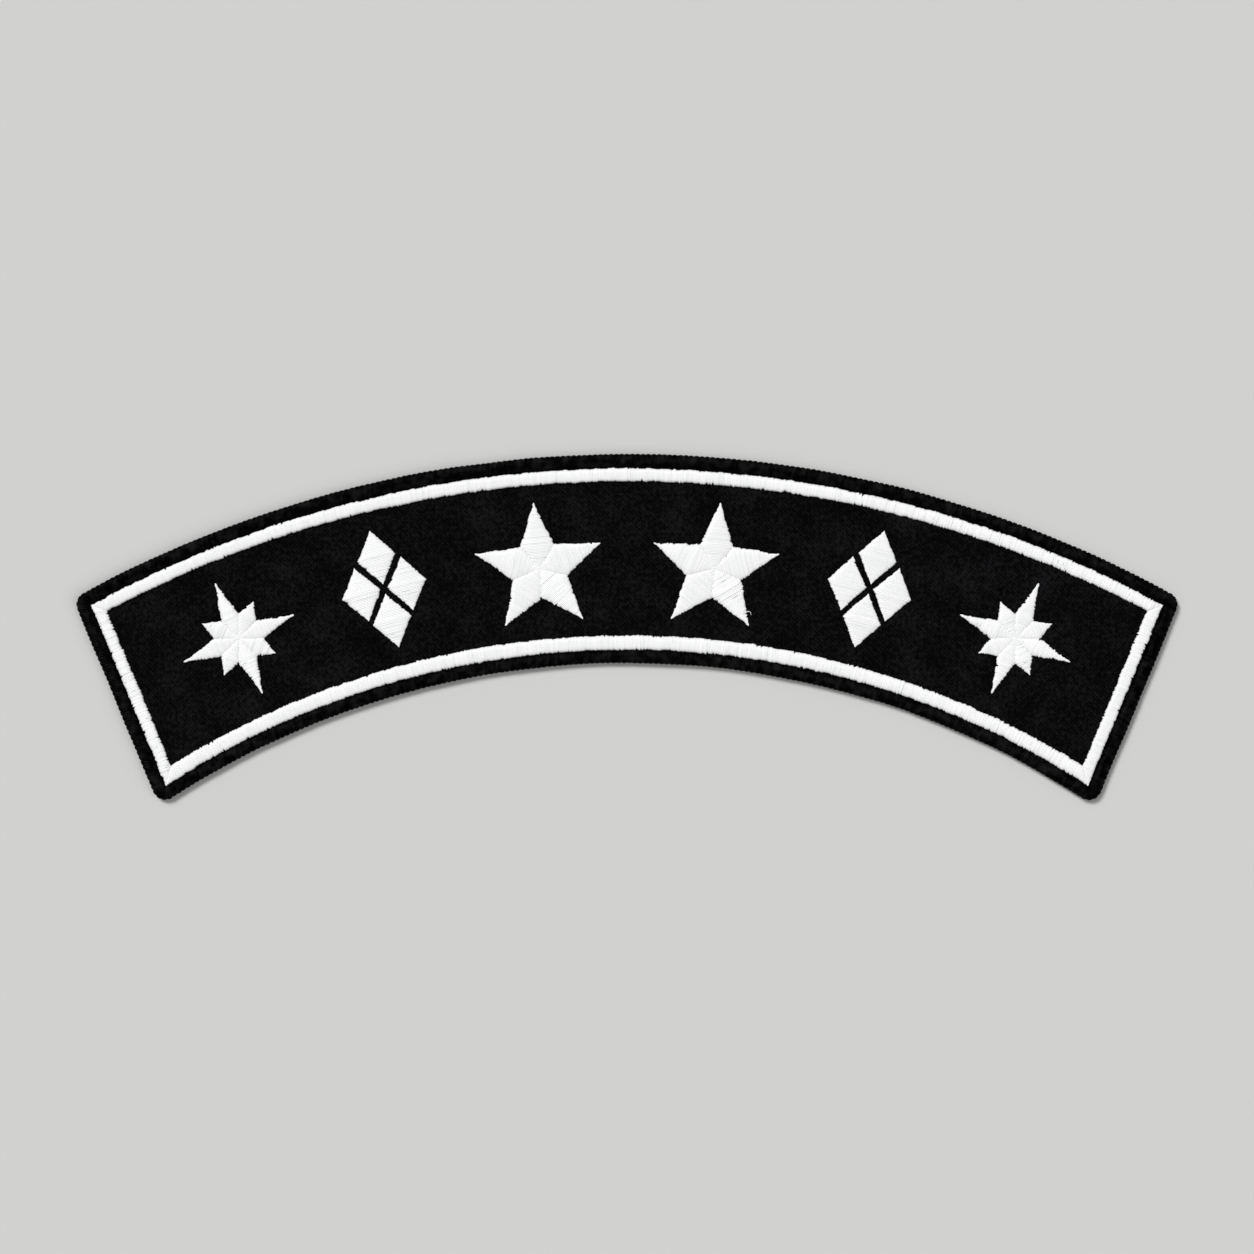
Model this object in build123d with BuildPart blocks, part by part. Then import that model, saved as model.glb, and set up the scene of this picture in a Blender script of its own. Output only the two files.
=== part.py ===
from build123d import *
import math
import os

# Arched cloth patch lying on its back: X runs along it, +Y to the crown of the arch, +Z out of its front.
# The seam line is the inner edge of the overlocked border, and every outline is set out from it.
# The origin is in the middle of the patch's length and height, on its back face.

# Seam line, in millimetres
upper_chord = 297.8  # between its two upper corners
lower_chord = 255.8  # between its two lower corners
upper_radius = 310.0
lower_radius = 235.0
band_height = 50.8  # between the two arcs, in the middle

# Cloth
cloth_thickness = 1.2
cloth_margin = 2.4  # cloth past the seam line, inside the border

# Overlocked border
edge_wall = 1.2  # thread past the cloth's edge
edge_under = 0.5  # thread under the cloth's edge
edge_over = 1.2  # thread over the cloth's front
edge_outer_round = 0.46  # as a share of the border's height
edge_inner_round = 0.6  # as a share of the thread over the cloth

# Satin stitching
satin_side = 0.3  # height at which its threads go into the cloth
satin_rise = 0.6  # from there to the top of a run
satin_facets = 6  # across the arched top of a run
frame_gap = 0.3  # between the seam line and the frame line
frame_width = 3.8
ornament_clear = 4.7  # bare cloth between the frame line and an ornament

# Ornaments, evenly spaced on the arc midway between the two arcs of the seam line
star_points = 5
star_waist = 0.44  # radius between two points, as a share of the star's
lozenge_width = 24.0  # of a group of four
lozenge_gap = 1.6  # bare cloth between two lozenges of a group
compass_points = 8
compass_short = 0.66  # radius of every second point, as a share of the others'
compass_waist = 0.42

# Clearance between separate pieces
piece_gap = 0.05


def arc_drop(radius, half_chord):
    """How far an arc falls from its crown to a point this far from the middle."""
    return radius - math.sqrt(radius**2 - half_chord**2)


upper_drop = arc_drop(upper_radius, upper_chord / 2)
lower_drop = arc_drop(lower_radius, lower_chord / 2)
crown = (band_height + lower_drop) / 2  # puts the middle of the patch's height at the origin
lower_crown = crown - band_height
edge_width = cloth_margin + edge_wall
edge_height = cloth_thickness + edge_over
satin_base = cloth_thickness + piece_gap

with BuildSketch() as seam:
    with BuildLine():
        upper = ThreePointArc(
            (-upper_chord / 2, crown - upper_drop), (0, crown), (upper_chord / 2, crown - upper_drop)
        )
        lower = ThreePointArc(
            (-lower_chord / 2, lower_crown - lower_drop),
            (0, lower_crown),
            (lower_chord / 2, lower_crown - lower_drop),
        )
        Line(upper @ 0, lower @ 0)
        Line(upper @ 1, lower @ 1)
    make_face()


def inside_seam(distance):
    """Face that keeps this far inside the seam line, with sharp corners."""
    with BuildSketch() as face:
        add(seam.sketch)
        offset(amount=-distance, kind=Kind.INTERSECTION)
    return face.sketch


def outside_seam(distance):
    """Face that reaches this far past the seam line, with round corners."""
    with BuildSketch() as face:
        add(seam.sketch)
        offset(amount=distance, kind=Kind.ARC)
    return face.sketch


# Cloth: its full thickness inside the seam line, and squeezed thinner in the border
with BuildPart() as cloth_ground:
    with BuildSketch():
        add(inside_seam(piece_gap))
    extrude(amount=cloth_thickness)
    with BuildSketch(Plane.XY.offset(edge_under)):
        add(outside_seam(cloth_margin))
    extrude(amount=cloth_thickness - edge_under)

# Border: a round-backed cord of thread with the groove that the cloth's edge lies in
with BuildPart() as merrow_edge:
    with BuildSketch():
        add(outside_seam(edge_width))
        add(seam.sketch, mode=Mode.SUBTRACT)
    extrude(amount=edge_height)
    back, front = merrow_edge.faces().filter_by(Axis.Z).sort_by(Axis.Z)
    fillet(back.outer_wire().edges() + front.outer_wire().edges(), radius=edge_outer_round * edge_height)
    front = merrow_edge.faces().sort_by(Axis.Z)[-1]
    fillet(front.inner_wires()[0].edges(), radius=edge_inner_round * edge_over)
    with BuildSketch(Plane.XY.offset(edge_under - piece_gap)):
        add(outside_seam(cloth_margin + piece_gap))
    extrude(amount=cloth_thickness - edge_under + 2 * piece_gap, mode=Mode.SUBTRACT)


def satin_section(plane):
    """Section of a run of the frame line: a low faceted arch on two short sides."""
    shares = [2 * step / satin_facets - 1 for step in range(satin_facets + 1)]
    arch = [(share * frame_width / 2, satin_side + satin_rise * (1 - share**2)) for share in shares]
    with BuildSketch(plane) as section:
        with BuildLine():
            Polyline((-frame_width / 2, 0), *arch, (frame_width / 2, 0), close=True)
        make_face()
    return section.sketch


def right_corners(distance):
    """Upper and lower right corners of the outline that keeps this far inside the seam line."""
    lower_one, upper_one = inside_seam(distance).vertices().sort_by(Axis.X)[-2:].sort_by(Axis.Y)
    return Vector(*upper_one), Vector(*lower_one)


outer_corners = right_corners(frame_gap)
middle_corners = right_corners(frame_gap + frame_width / 2)
inner_corners = right_corners(frame_gap + frame_width)


def mitre(corner, kept):
    """Upright plane through a right corner of the frame line, 0 or 1, that faces the point that is kept."""
    slant = outer_corners[corner] - inner_corners[corner]
    facing = slant.cross(Vector(0, 0, 1)).normalized()
    if facing.dot(kept - inner_corners[corner]) < 0:
        facing = -facing
    return Plane(origin=inner_corners[corner] + facing * piece_gap / 2, z_dir=facing)


def frame_arc(centre_y, radius, corner):
    """Run of the frame line along an arc, mitred at both ends."""
    crest = Vector(0, centre_y + radius, 0)
    reach = math.asin(outer_corners[corner].X / radius)
    outwards = Vector(math.sin(reach), math.cos(reach), 0)
    start = Plane(
        origin=outwards * radius + Vector(0, centre_y, satin_base),
        x_dir=outwards,
        z_dir=Vector(outwards.Y, -outwards.X, 0),
    )
    right_cut = mitre(corner, crest)
    left_cut = Plane(
        origin=(-right_cut.origin.X, right_cut.origin.Y, 0),
        z_dir=(-right_cut.z_dir.X, right_cut.z_dir.Y, 0),
    )
    with BuildPart() as run:
        arc_axis = Axis((0, centre_y, 0), (0, 0, 1))
        revolve(satin_section(start), axis=arc_axis, revolution_arc=math.degrees(2 * reach))
        split(bisect_by=right_cut)
        split(bisect_by=left_cut)
    return run


inset = frame_gap + frame_width / 2  # of the frame line's middle from the seam line
frame_top = frame_arc(crown - upper_radius, upper_radius - inset, corner=0)
frame_bottom = frame_arc(lower_crown - lower_radius, lower_radius + inset, corner=1)

# Frame line, right and left ends: straight runs between two mitres
with BuildPart() as frame_right:
    end_line = middle_corners[0] - middle_corners[1]
    start = Plane(
        origin=middle_corners[1] - end_line.normalized() * frame_width + Vector(0, 0, satin_base),
        x_dir=Vector(0, 0, 1).cross(end_line),
        z_dir=end_line,
    )
    extrude(satin_section(start), amount=end_line.length + 2 * frame_width)
    end_middle = (middle_corners[0] + middle_corners[1]) / 2
    split(bisect_by=mitre(0, end_middle))
    split(bisect_by=mitre(1, end_middle))

with BuildPart() as frame_left:
    add(frame_right.part)
    mirror(about=Plane.YZ, mode=Mode.REPLACE)

# Ornaments: sizes, and places along the middle arc that leave equal spaces
ornament_height = band_height - 2 * (frame_gap + frame_width + ornament_clear)
star_radius = ornament_height / (1 + math.cos(math.pi / star_points))
star_width = 2 * star_radius * math.sin(2 * math.pi / star_points)
compass_radius = ornament_height / 2
middle_radius = (upper_radius + lower_radius) / 2
middle_centre = crown - band_height / 2 - middle_radius
half_arc = middle_radius * math.asin((upper_chord + lower_chord) / 4 / middle_radius)
taken = frame_gap + frame_width + star_width + lozenge_width + 2 * compass_radius
ornament_space = (half_arc - taken) / 3.5  # half a space in the middle, three more to the end line
star_place = (ornament_space + star_width) / 2
lozenge_place = star_place + star_width / 2 + ornament_space + lozenge_width / 2
compass_place = lozenge_place + lozenge_width / 2 + ornament_space + compass_radius


def ornament_plane(place, across=0, up=0):
    """Plane on the cloth's front at a place along the middle arc, its Y away from the arc's centre."""
    turn = place / middle_radius
    sideways = Vector(math.cos(turn), -math.sin(turn), 0)
    outwards = Vector(math.sin(turn), math.cos(turn), 0)
    centre = Vector(0, middle_centre, satin_base) + outwards * middle_radius
    return Plane(origin=centre + sideways * across + outwards * up, x_dir=sideways, z_dir=(0, 0, 1))


def kite(plane, length, shoulder, half_width):
    """Kite from the plane's origin along its Y, widest at the shoulder."""
    with BuildSketch(plane) as face:
        with BuildLine():
            Polyline((0, 0), (half_width, shoulder), (0, length), (-half_width, shoulder), close=True)
        make_face()
    return face.sketch


def satin_arms(arms):
    """Solid of arms, each a kite on its own plane with short sides and four facets up to its shoulder."""
    with BuildPart() as ornament:
        for arm in arms:
            extrude(kite(**arm), amount=satin_side)
        for arm in arms:
            raised = arm | {"plane": arm["plane"].offset(satin_side)}
            peak = raised["plane"].offset(satin_rise).origin + arm["plane"].y_dir * arm["shoulder"]
            loft([kite(**raised).face(), Vertex(*peak)], ruled=True)
    return ornament


def pointed_star(centre, radii, waist):
    """Star with one arm for each radius, clockwise from its plane's Y."""
    step = 360 / len(radii)
    half_step = math.radians(step / 2)
    return satin_arms(
        [
            {
                "plane": centre.rotated((0, 0, -step * number)),
                "length": radius,
                "shoulder": waist * math.cos(half_step),
                "half_width": waist * math.sin(half_step),
            }
            for number, radius in enumerate(radii)
        ]
    )


def star(place):
    """Five-pointed star, centred on its height."""
    centre = ornament_plane(place, up=ornament_height / 2 - star_radius)
    return pointed_star(centre, [star_radius] * star_points, star_waist * star_radius)


def compass(place):
    """Star with long and short points in turn."""
    radii = [compass_radius * (compass_short if number % 2 else 1) for number in range(compass_points)]
    return pointed_star(ornament_plane(place), radii, compass_waist * compass_radius)


def lozenge(place, across, up):
    """One lozenge of a group of four, on the side of the group's centre that across and up give."""
    # Half as large as the group's outline, and a quarter of the gap smaller on every side
    slope = math.hypot(lozenge_width, ornament_height) * lozenge_gap / 4
    half_width = lozenge_width / 4 - slope / ornament_height
    half_height = ornament_height / 4 - slope / lozenge_width
    foot = ornament_plane(
        place,
        across=across * (lozenge_width / 2 - half_width),
        up=up * (ornament_height / 2 - half_height) - half_height,
    )
    return satin_arms(
        [{"plane": foot, "length": 2 * half_height, "shoulder": half_height, "half_width": half_width}]
    )


pieces = {
    "cloth_ground": cloth_ground,
    "merrow_edge": merrow_edge,
    "frame_top": frame_top,
    "frame_bottom": frame_bottom,
    "frame_left": frame_left,
    "frame_right": frame_right,
}
for side, sign in {"left": -1, "right": 1}.items():
    pieces[f"star_{side}"] = star(sign * star_place)
    pieces[f"compass_{side}"] = compass(sign * compass_place)
    pieces[f"lozenge_{side}_upper"] = lozenge(sign * lozenge_place, across=0, up=1)
    pieces[f"lozenge_{side}_lower"] = lozenge(sign * lozenge_place, across=0, up=-1)
    pieces[f"lozenge_{side}_inner"] = lozenge(sign * lozenge_place, across=-sign, up=0)
    pieces[f"lozenge_{side}_outer"] = lozenge(sign * lozenge_place, across=sign, up=0)

os.makedirs("parts", exist_ok=True)
for name, piece in pieces.items():
    piece.part.label = name
    export_step(piece.part, f"parts/{name}.step")
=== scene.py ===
"""Looks of an arched embroidered patch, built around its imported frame.

The patch lies on its back on a pale floor. Its ground is a slab of twill, its border is overlocked
thread wound over the cloth's edge, and its frame line and ornaments are satin stitching, thread by thread.
"""

from __future__ import annotations

import logging
import math
import random
from collections.abc import Callable, Iterable
from dataclasses import dataclass
from enum import Enum

import bmesh
import bpy
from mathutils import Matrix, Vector, noise
from mathutils.geometry import interpolate_bezier


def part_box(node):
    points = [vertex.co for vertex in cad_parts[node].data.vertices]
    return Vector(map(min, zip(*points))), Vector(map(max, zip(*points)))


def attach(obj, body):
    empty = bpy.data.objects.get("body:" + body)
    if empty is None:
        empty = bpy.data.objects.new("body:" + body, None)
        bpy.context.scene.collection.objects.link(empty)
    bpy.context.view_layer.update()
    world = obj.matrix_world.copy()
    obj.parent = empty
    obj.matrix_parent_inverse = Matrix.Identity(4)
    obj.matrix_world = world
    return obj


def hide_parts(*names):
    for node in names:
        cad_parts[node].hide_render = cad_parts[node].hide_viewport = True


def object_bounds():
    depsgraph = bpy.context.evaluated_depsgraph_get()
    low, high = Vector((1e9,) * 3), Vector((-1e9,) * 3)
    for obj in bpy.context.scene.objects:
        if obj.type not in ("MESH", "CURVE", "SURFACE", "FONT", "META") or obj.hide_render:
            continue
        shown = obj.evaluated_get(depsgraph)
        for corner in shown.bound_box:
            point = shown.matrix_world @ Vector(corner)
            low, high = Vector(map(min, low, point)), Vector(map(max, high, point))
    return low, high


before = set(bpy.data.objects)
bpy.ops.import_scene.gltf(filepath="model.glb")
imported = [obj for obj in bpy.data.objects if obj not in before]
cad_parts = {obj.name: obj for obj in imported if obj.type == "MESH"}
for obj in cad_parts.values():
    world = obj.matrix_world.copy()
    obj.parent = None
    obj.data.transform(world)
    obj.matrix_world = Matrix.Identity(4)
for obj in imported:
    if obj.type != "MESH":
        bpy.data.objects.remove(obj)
CAD_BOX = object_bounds()

log = logging.getLogger("patch")

MM = 0.001
UP = Vector((0.0, 0.0, 1.0))
SAME_PLACE = 1e-7  # vertices that are nearer than this are merged
MICRONS = 6  # decimals of a metre by which a solid's corners are told apart
TWIST_RANGE = 5.0 * MM  # within which the fibres' pattern of each thread begins
FAR_APART = 100.0  # range of places in a noise, within which no two runs wander alike
ROUNDNESS = 0.7  # exponent of a thread's round back, where 1 is a sine's
SHADE_LAYER = "thread_shade"  # each thread's shade, from 0 to 1
UV_LAYER = "thread_uv"  # metres along a thread and across it

# The two ends of a thread, at a distance along a run of stitching
Rails = Callable[[float], tuple[Vector, Vector]]


class Slot(Enum):
    """Material slots of the record."""

    CLOTH = "ground_cloth"
    BORDER = "border_thread"
    SATIN = "satin_thread"


class Value:
    """Number in a shader, whose operators add Math nodes to its tree."""

    def __init__(self, tree: NodeTree, socket: bpy.types.NodeSocket) -> None:
        """Wraps one output socket of the tree."""
        self.tree = tree
        self.socket = socket

    def _math(self, operation: str, *operands: Value | float) -> Value:
        """Adds one Math node for these operands."""
        node = self.tree.node("ShaderNodeMath", {"operation": operation}, dict(enumerate(operands)))
        return Value(self.tree, node.outputs[0])

    def __add__(self, other: Value | float) -> Value:
        """Sum."""
        return self._math("ADD", self, other)

    def __radd__(self, other: float) -> Value:
        """Sum, from the right."""
        return self._math("ADD", other, self)

    def __sub__(self, other: Value | float) -> Value:
        """Difference."""
        return self._math("SUBTRACT", self, other)

    def __rsub__(self, other: float) -> Value:
        """Difference, from the right."""
        return self._math("SUBTRACT", other, self)

    def __mul__(self, other: Value | float) -> Value:
        """Product."""
        return self._math("MULTIPLY", self, other)

    def __rmul__(self, other: float) -> Value:
        """Product, from the right."""
        return self._math("MULTIPLY", other, self)

    def __truediv__(self, other: Value | float) -> Value:
        """Quotient."""
        return self._math("DIVIDE", self, other)

    def __mod__(self, other: Value | float) -> Value:
        """Remainder that is never negative."""
        return self._math("FLOORED_MODULO", self, other)

    def __lt__(self, other: Value | float) -> Value:
        """1 where this is less, else 0."""
        return self._math("LESS_THAN", self, other)

    def floor(self) -> Value:
        """Whole part."""
        return self._math("FLOOR", self)

    def sine(self) -> Value:
        """Sine of an angle in radians."""
        return self._math("SINE", self)

    def arch(self) -> Value:
        """Round back of a yarn: 1 in the middle of each whole step and 0 at its ends."""
        side = (self % 1.0) * 2.0 - 1.0
        return 1.0 - side * side

    def mixed(self, low: Value | float, high: Value | float) -> Value:
        """Goes from low to high as this goes from 0 to 1."""
        return low + (high - low) * self


class NodeTree:
    """Shader of one material, built from a Principled BSDF."""

    # Numbers of a Mix node's sockets for colours, whose names its other sockets share
    LOW_COLOUR, HIGH_COLOUR, MIXED_COLOUR = 6, 7, 2

    def __init__(self, name: str) -> None:
        """Starts a material.

        Args:
            name: the material's name.
        """
        self.material = bpy.data.materials.new(name)
        self.material.use_nodes = True
        self.nodes = self.material.node_tree.nodes
        self.links = self.material.node_tree.links
        self.shader = self.nodes["Principled BSDF"]

    def node(
        self,
        kind: str,
        settings: dict[str, object] | None = None,
        inputs: dict[str | int, object] | None = None,
    ) -> bpy.types.Node:
        """Adds one node.

        Args:
            kind: type of the node.
            settings: properties, which are set before the sockets.
            inputs: numbers, colours, values or sockets, by the name or number of the node's input.

        Returns:
            The new node.
        """
        node = self.nodes.new(kind)
        for name, setting in (settings or {}).items():
            setattr(node, name, setting)
        for name, given in (inputs or {}).items():
            self.feed(node.inputs[name], given)
        return node

    def feed(self, socket: bpy.types.NodeSocket, given: object) -> None:
        """Gives an input socket a link or a constant.

        Args:
            socket: the input socket.
            given: number, colour, value or output socket.
        """
        if isinstance(given, Value):
            given = given.socket
        if isinstance(given, bpy.types.NodeSocket):
            self.links.new(given, socket)
        else:
            socket.default_value = given

    def value(self, socket: bpy.types.NodeSocket) -> Value:
        """Wraps a socket for arithmetic."""
        return Value(self, socket)

    def principled(self, **inputs: object) -> None:
        """Feeds the Principled BSDF, whose sockets are named with _ for spaces."""
        for name, given in inputs.items():
            self.feed(self.shader.inputs[name.replace("_", " ")], given)

    def object_coordinates(self) -> bpy.types.NodeSocket:
        """Place of the shaded point on its object, in metres."""
        return self.node("ShaderNodeTexCoord").outputs["Object"]

    def parts(self, place: bpy.types.NodeSocket) -> tuple[Value, Value, Value]:
        """The three numbers of some coordinates."""
        split = self.node("ShaderNodeSeparateXYZ", inputs={0: place})
        return tuple(self.value(output) for output in split.outputs)

    def pair(self, first: Value, second: Value) -> bpy.types.NodeSocket:
        """Coordinates made of two numbers."""
        return self.node("ShaderNodeCombineXYZ", inputs={0: first, 1: second}).outputs[0]

    def noise(self, scale: float, detail: float, place: bpy.types.NodeSocket | None = None) -> Value:
        """Clouds, this many to a unit of the coordinates, which are the object's unless given."""
        inputs = {"Vector": place or self.object_coordinates(), "Scale": scale, "Detail": detail}
        return self.value(self.node("ShaderNodeTexNoise", inputs=inputs).outputs["Fac"])

    def chance(self, place: bpy.types.NodeSocket) -> Value:
        """Random number for each place."""
        node = self.node("ShaderNodeTexWhiteNoise", inputs={"Vector": place})
        return self.value(node.outputs["Value"])

    def bump(self, height: Value, distance: float) -> bpy.types.NodeSocket:
        """Normal of a relief whose height of 1 is this many metres."""
        inputs = {"Height": height, "Distance": distance}
        return self.node("ShaderNodeBump", inputs=inputs).outputs["Normal"]

    def tinted(
        self, factor: Value, low: tuple[float, ...], high: tuple[float, ...]
    ) -> bpy.types.NodeSocket:
        """Colour that goes from low to high with the factor."""
        inputs = {0: factor, self.LOW_COLOUR: (*low, 1.0), self.HIGH_COLOUR: (*high, 1.0)}
        return self.node("ShaderNodeMix", {"data_type": "RGBA"}, inputs).outputs[self.MIXED_COLOUR]


@dataclass(frozen=True)
class ThreadFinish:
    """Finish of stitched thread, whose plies wind round it.

    Attributes:
        name: material's name.
        dark: colour of its darkest threads.
        light: colour of its lightest threads.
        roughness: of the thread's gloss.
        gloss: strength of that gloss; 0.5 is a plain plastic's.
        sheen: weight of the soft shine of loose fibres.
        sheen_roughness: of that shine.
        uneven_roughness: how far roughness differs from fibre to fibre.
        ply_pitch: length along a thread from one ply to the next.
        ply_slant: how far a ply runs along the thread for its way across.
        ply_relief: height of a ply.
        fibre_length: length of the streaks that its fibres make.
        fibre_width: width of those streaks.
        fibre_relief: their height, as a share of a ply's.
        fibre_tone: how far tones differ from fibre to fibre.
        contrast: how far tones differ from thread to thread.
        patchiness: how far its tone wanders from place to place.
        patches: number of such places to a metre.
        deepening: how far all tones are drawn towards the dark colour.
    """

    name: str
    dark: tuple[float, float, float]
    light: tuple[float, float, float]
    roughness: float
    gloss: float
    sheen: float
    sheen_roughness: float = 0.4
    uneven_roughness: float = 0.2
    ply_pitch: float = 0.8 * MM
    ply_slant: float = 0.8
    ply_relief: float = 0.008 * MM
    fibre_length: float = 3.0 * MM
    fibre_width: float = 0.09 * MM
    fibre_relief: float = 0.5
    fibre_tone: float = 0.5
    contrast: float = 0.6
    patchiness: float = 0.3
    patches: float = 160.0
    deepening: float = 0.05

    def material(self) -> bpy.types.Material:
        """Builds the material.

        Returns:
            The material, which reads the two layers of a thread mesh.
        """
        tree = NodeTree(self.name)
        attribute = tree.node("ShaderNodeAttribute", {"attribute_name": SHADE_LAYER})
        shade = tree.value(attribute.outputs["Fac"])
        uv = tree.node("ShaderNodeUVMap", {"uv_map": UV_LAYER}).outputs["UV"]
        along, across, _ = tree.parts(uv)
        plies = ((along + across * self.ply_slant) * (math.tau / self.ply_pitch)).sine()
        streaks = tree.pair(along / self.fibre_length, across / self.fibre_width)
        fibres = tree.noise(scale=1.0, detail=2.0, place=streaks)
        cloud = tree.noise(scale=self.patches, detail=3.0) - 0.5
        shades = shade * self.contrast + fibres * self.fibre_tone
        tone = shades + cloud * self.patchiness - self.deepening
        # A ply's sine rises by 2 from its hollow to its top, where fibres rise by 1
        relief = plies + fibres * (2.0 * self.fibre_relief)
        tree.principled(
            Base_Color=tree.tinted(tone, self.dark, self.light),
            Roughness=fibres * self.uneven_roughness + (self.roughness - self.uneven_roughness / 2),
            Normal=tree.bump(relief, self.ply_relief),
            Specular_IOR_Level=self.gloss,
            Sheen_Weight=self.sheen,
            Sheen_Roughness=self.sheen_roughness,
        )
        return tree.material


@dataclass(frozen=True)
class TwillFinish:
    """Finish of the twill ground.

    Attributes:
        name: material's name.
        yarn: spacing of its yarns.
        relief: height of a yarn over the one that it crosses.
        repeat: yarns in one repeat of the weave, all but one of which a warp float passes over.
        float_dip: how far a warp float dips at its ends, as a share of its height.
        weft_height: height of a weft yarn, as a share of a warp float's.
        slub_relief: how far heights differ from crossing to crossing, as a share of the relief.
        slub_tone: how far tones differ from crossing to crossing.
        fibre_length: length of the streaks that a yarn's fibres make.
        fibre_width: width of those streaks.
        fibre_relief: their height, as a share of the relief.
        fibre_tone: how far tones differ from fibre to fibre.
        painted_hollow_shade: painted shade, how much darker the hollows between yarns are coloured in
            place of the shade that falls in them.
        clouds: number of slow changes of tone to a metre.
        cloud_tone: how far they go.
        mottles: number of quick changes of tone to a metre.
        mottle_tone: how far they go.
        deepening: how far all tones are drawn towards the dark colour.
        roughness: of its faint gloss, at the least.
        cloud_roughness: how much rougher it is in the lightest clouds.
        gloss: strength of that gloss; 0.5 is a plain plastic's.
        dark: colour of the darkest yarns, and of the painted shade in the hollows.
        light: colour of the lightest yarns.
    """

    name: str = "black_twill"
    yarn: float = 0.4 * MM
    relief: float = 0.075 * MM
    repeat: int = 3
    float_dip: float = 0.7
    weft_height: float = 0.6
    slub_relief: float = 0.2
    slub_tone: float = 0.25
    fibre_length: float = 0.9 * MM
    fibre_width: float = 0.07 * MM
    fibre_relief: float = 0.45
    fibre_tone: float = 0.5
    painted_hollow_shade: float = 0.7
    clouds: float = 110.0
    cloud_tone: float = 1.3
    mottles: float = 1000.0
    mottle_tone: float = 2.0
    deepening: float = 2.1
    roughness: float = 0.68
    cloud_roughness: float = 0.12
    gloss: float = 0.03
    dark: tuple[float, float, float] = (0.0003, 0.0003, 0.0004)
    light: tuple[float, float, float] = (0.0098, 0.0100, 0.0110)

    def material(self) -> bpy.types.Material:
        """Builds the material.

        Returns:
            The material, whose warp runs up the patch.
        """
        tree = NodeTree(self.name)
        place_x, place_y, _ = tree.parts(tree.object_coordinates())
        warp, weft = place_x / self.yarn, place_y / self.yarn
        weft_over = (warp.floor() + weft.floor()) % self.repeat < 1.0
        along = (warp.floor() + weft) % self.repeat - 1.0
        over = (along / (self.repeat - 1)).arch() * self.float_dip + (1.0 - self.float_dip)
        crossing = weft_over.mixed(warp.arch() * over, weft.arch() * warp.arch() * self.weft_height)
        slub = tree.chance(tree.pair(warp.floor(), weft.floor()))
        streaks = tree.pair(place_x / self.fibre_width, place_y / self.fibre_length)
        fibres = tree.noise(scale=1.0, detail=2.0, place=streaks)
        cloud = tree.noise(scale=self.clouds, detail=3.0)
        mottle = tree.noise(scale=self.mottles, detail=2.0)
        # Yarn tone: random slubs and fibres, plus painted shade that darkens the hollows between yarns
        yarns = crossing * self.painted_hollow_shade + slub * self.slub_tone + fibres * self.fibre_tone
        tone = yarns + cloud * self.cloud_tone + mottle * self.mottle_tone - self.deepening
        relief = crossing + slub * self.slub_relief + fibres * self.fibre_relief
        tree.principled(
            Base_Color=tree.tinted(tone, self.dark, self.light),
            Roughness=cloud * self.cloud_roughness + self.roughness,
            Normal=tree.bump(relief, self.relief),
            Specular_IOR_Level=self.gloss,
        )
        return tree.material


WHITE_RAYON = ThreadFinish(
    name="white_rayon",
    dark=(0.82, 0.825, 0.835),
    light=(0.93, 0.93, 0.925),
    roughness=0.4,
    gloss=0.5,
    sheen=0.05,
    ply_relief=0.010 * MM,
    fibre_relief=1.3,
)
BLACK_POLYESTER = ThreadFinish(
    name="black_polyester",
    dark=(0.0001, 0.0001, 0.0001),
    light=(0.0085, 0.0087, 0.0086),
    roughness=0.4,
    gloss=0.02,
    sheen=0.0,
    ply_pitch=1.1 * MM,
    ply_relief=0.018 * MM,
    fibre_relief=0.9,
    contrast=0.35,
    patchiness=3.0,
    patches=420.0,
    deepening=0.19,
)
BLACK_TWILL = TwillFinish()


@dataclass(frozen=True)
class ArcStretch:
    """Arc of the seam line, or a corner of it where the radius is nothing.

    Attributes:
        centre: centre of the arc.
        radius: its radius.
        start: angle where it begins.
        end: angle where it ends.
        facing: 1 where the patch's outside is away from the centre, -1 where it is towards it.
    """

    centre: Vector
    radius: float
    start: float
    end: float
    facing: int = 1

    def at(self, share: float) -> tuple[Vector, Vector]:
        """Point of the seam line at a share of the stretch, and its outward direction."""
        ray = heading(self.start + (self.end - self.start) * share)
        return self.centre + ray * self.radius, ray * self.facing

    def length(self, distance: float) -> float:
        """Length of the line that runs this far outside the stretch."""
        return (self.radius + self.facing * distance) * abs(self.end - self.start)


@dataclass(frozen=True)
class LineStretch:
    """Straight stretch of the seam line.

    Attributes:
        start: where it begins.
        end: where it ends.
        outward: direction to the patch's outside.
    """

    start: Vector
    end: Vector
    outward: Vector

    def at(self, share: float) -> tuple[Vector, Vector]:
        """Point of the seam line at a share of the stretch, and its outward direction."""
        return self.start.lerp(self.end, share), self.outward

    def length(self, distance: float) -> float:
        """Length of the line that runs beside the stretch, which the distance leaves as it is."""
        return (self.end - self.start).length


def heading(angle: float) -> Vector:
    """Level direction at an angle from +X."""
    return Vector((math.cos(angle), math.sin(angle), 0.0))


def round_back(share: float) -> float:
    """Height of a thread's round back, 1 in the middle of its width and 0 where it meets the next."""
    return max(0.0, math.sin(math.pi * share)) ** ROUNDNESS


def mirrored(point: Vector) -> Vector:
    """The point's image on the other side of the middle."""
    return Vector((-point.x, point.y, point.z))


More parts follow.
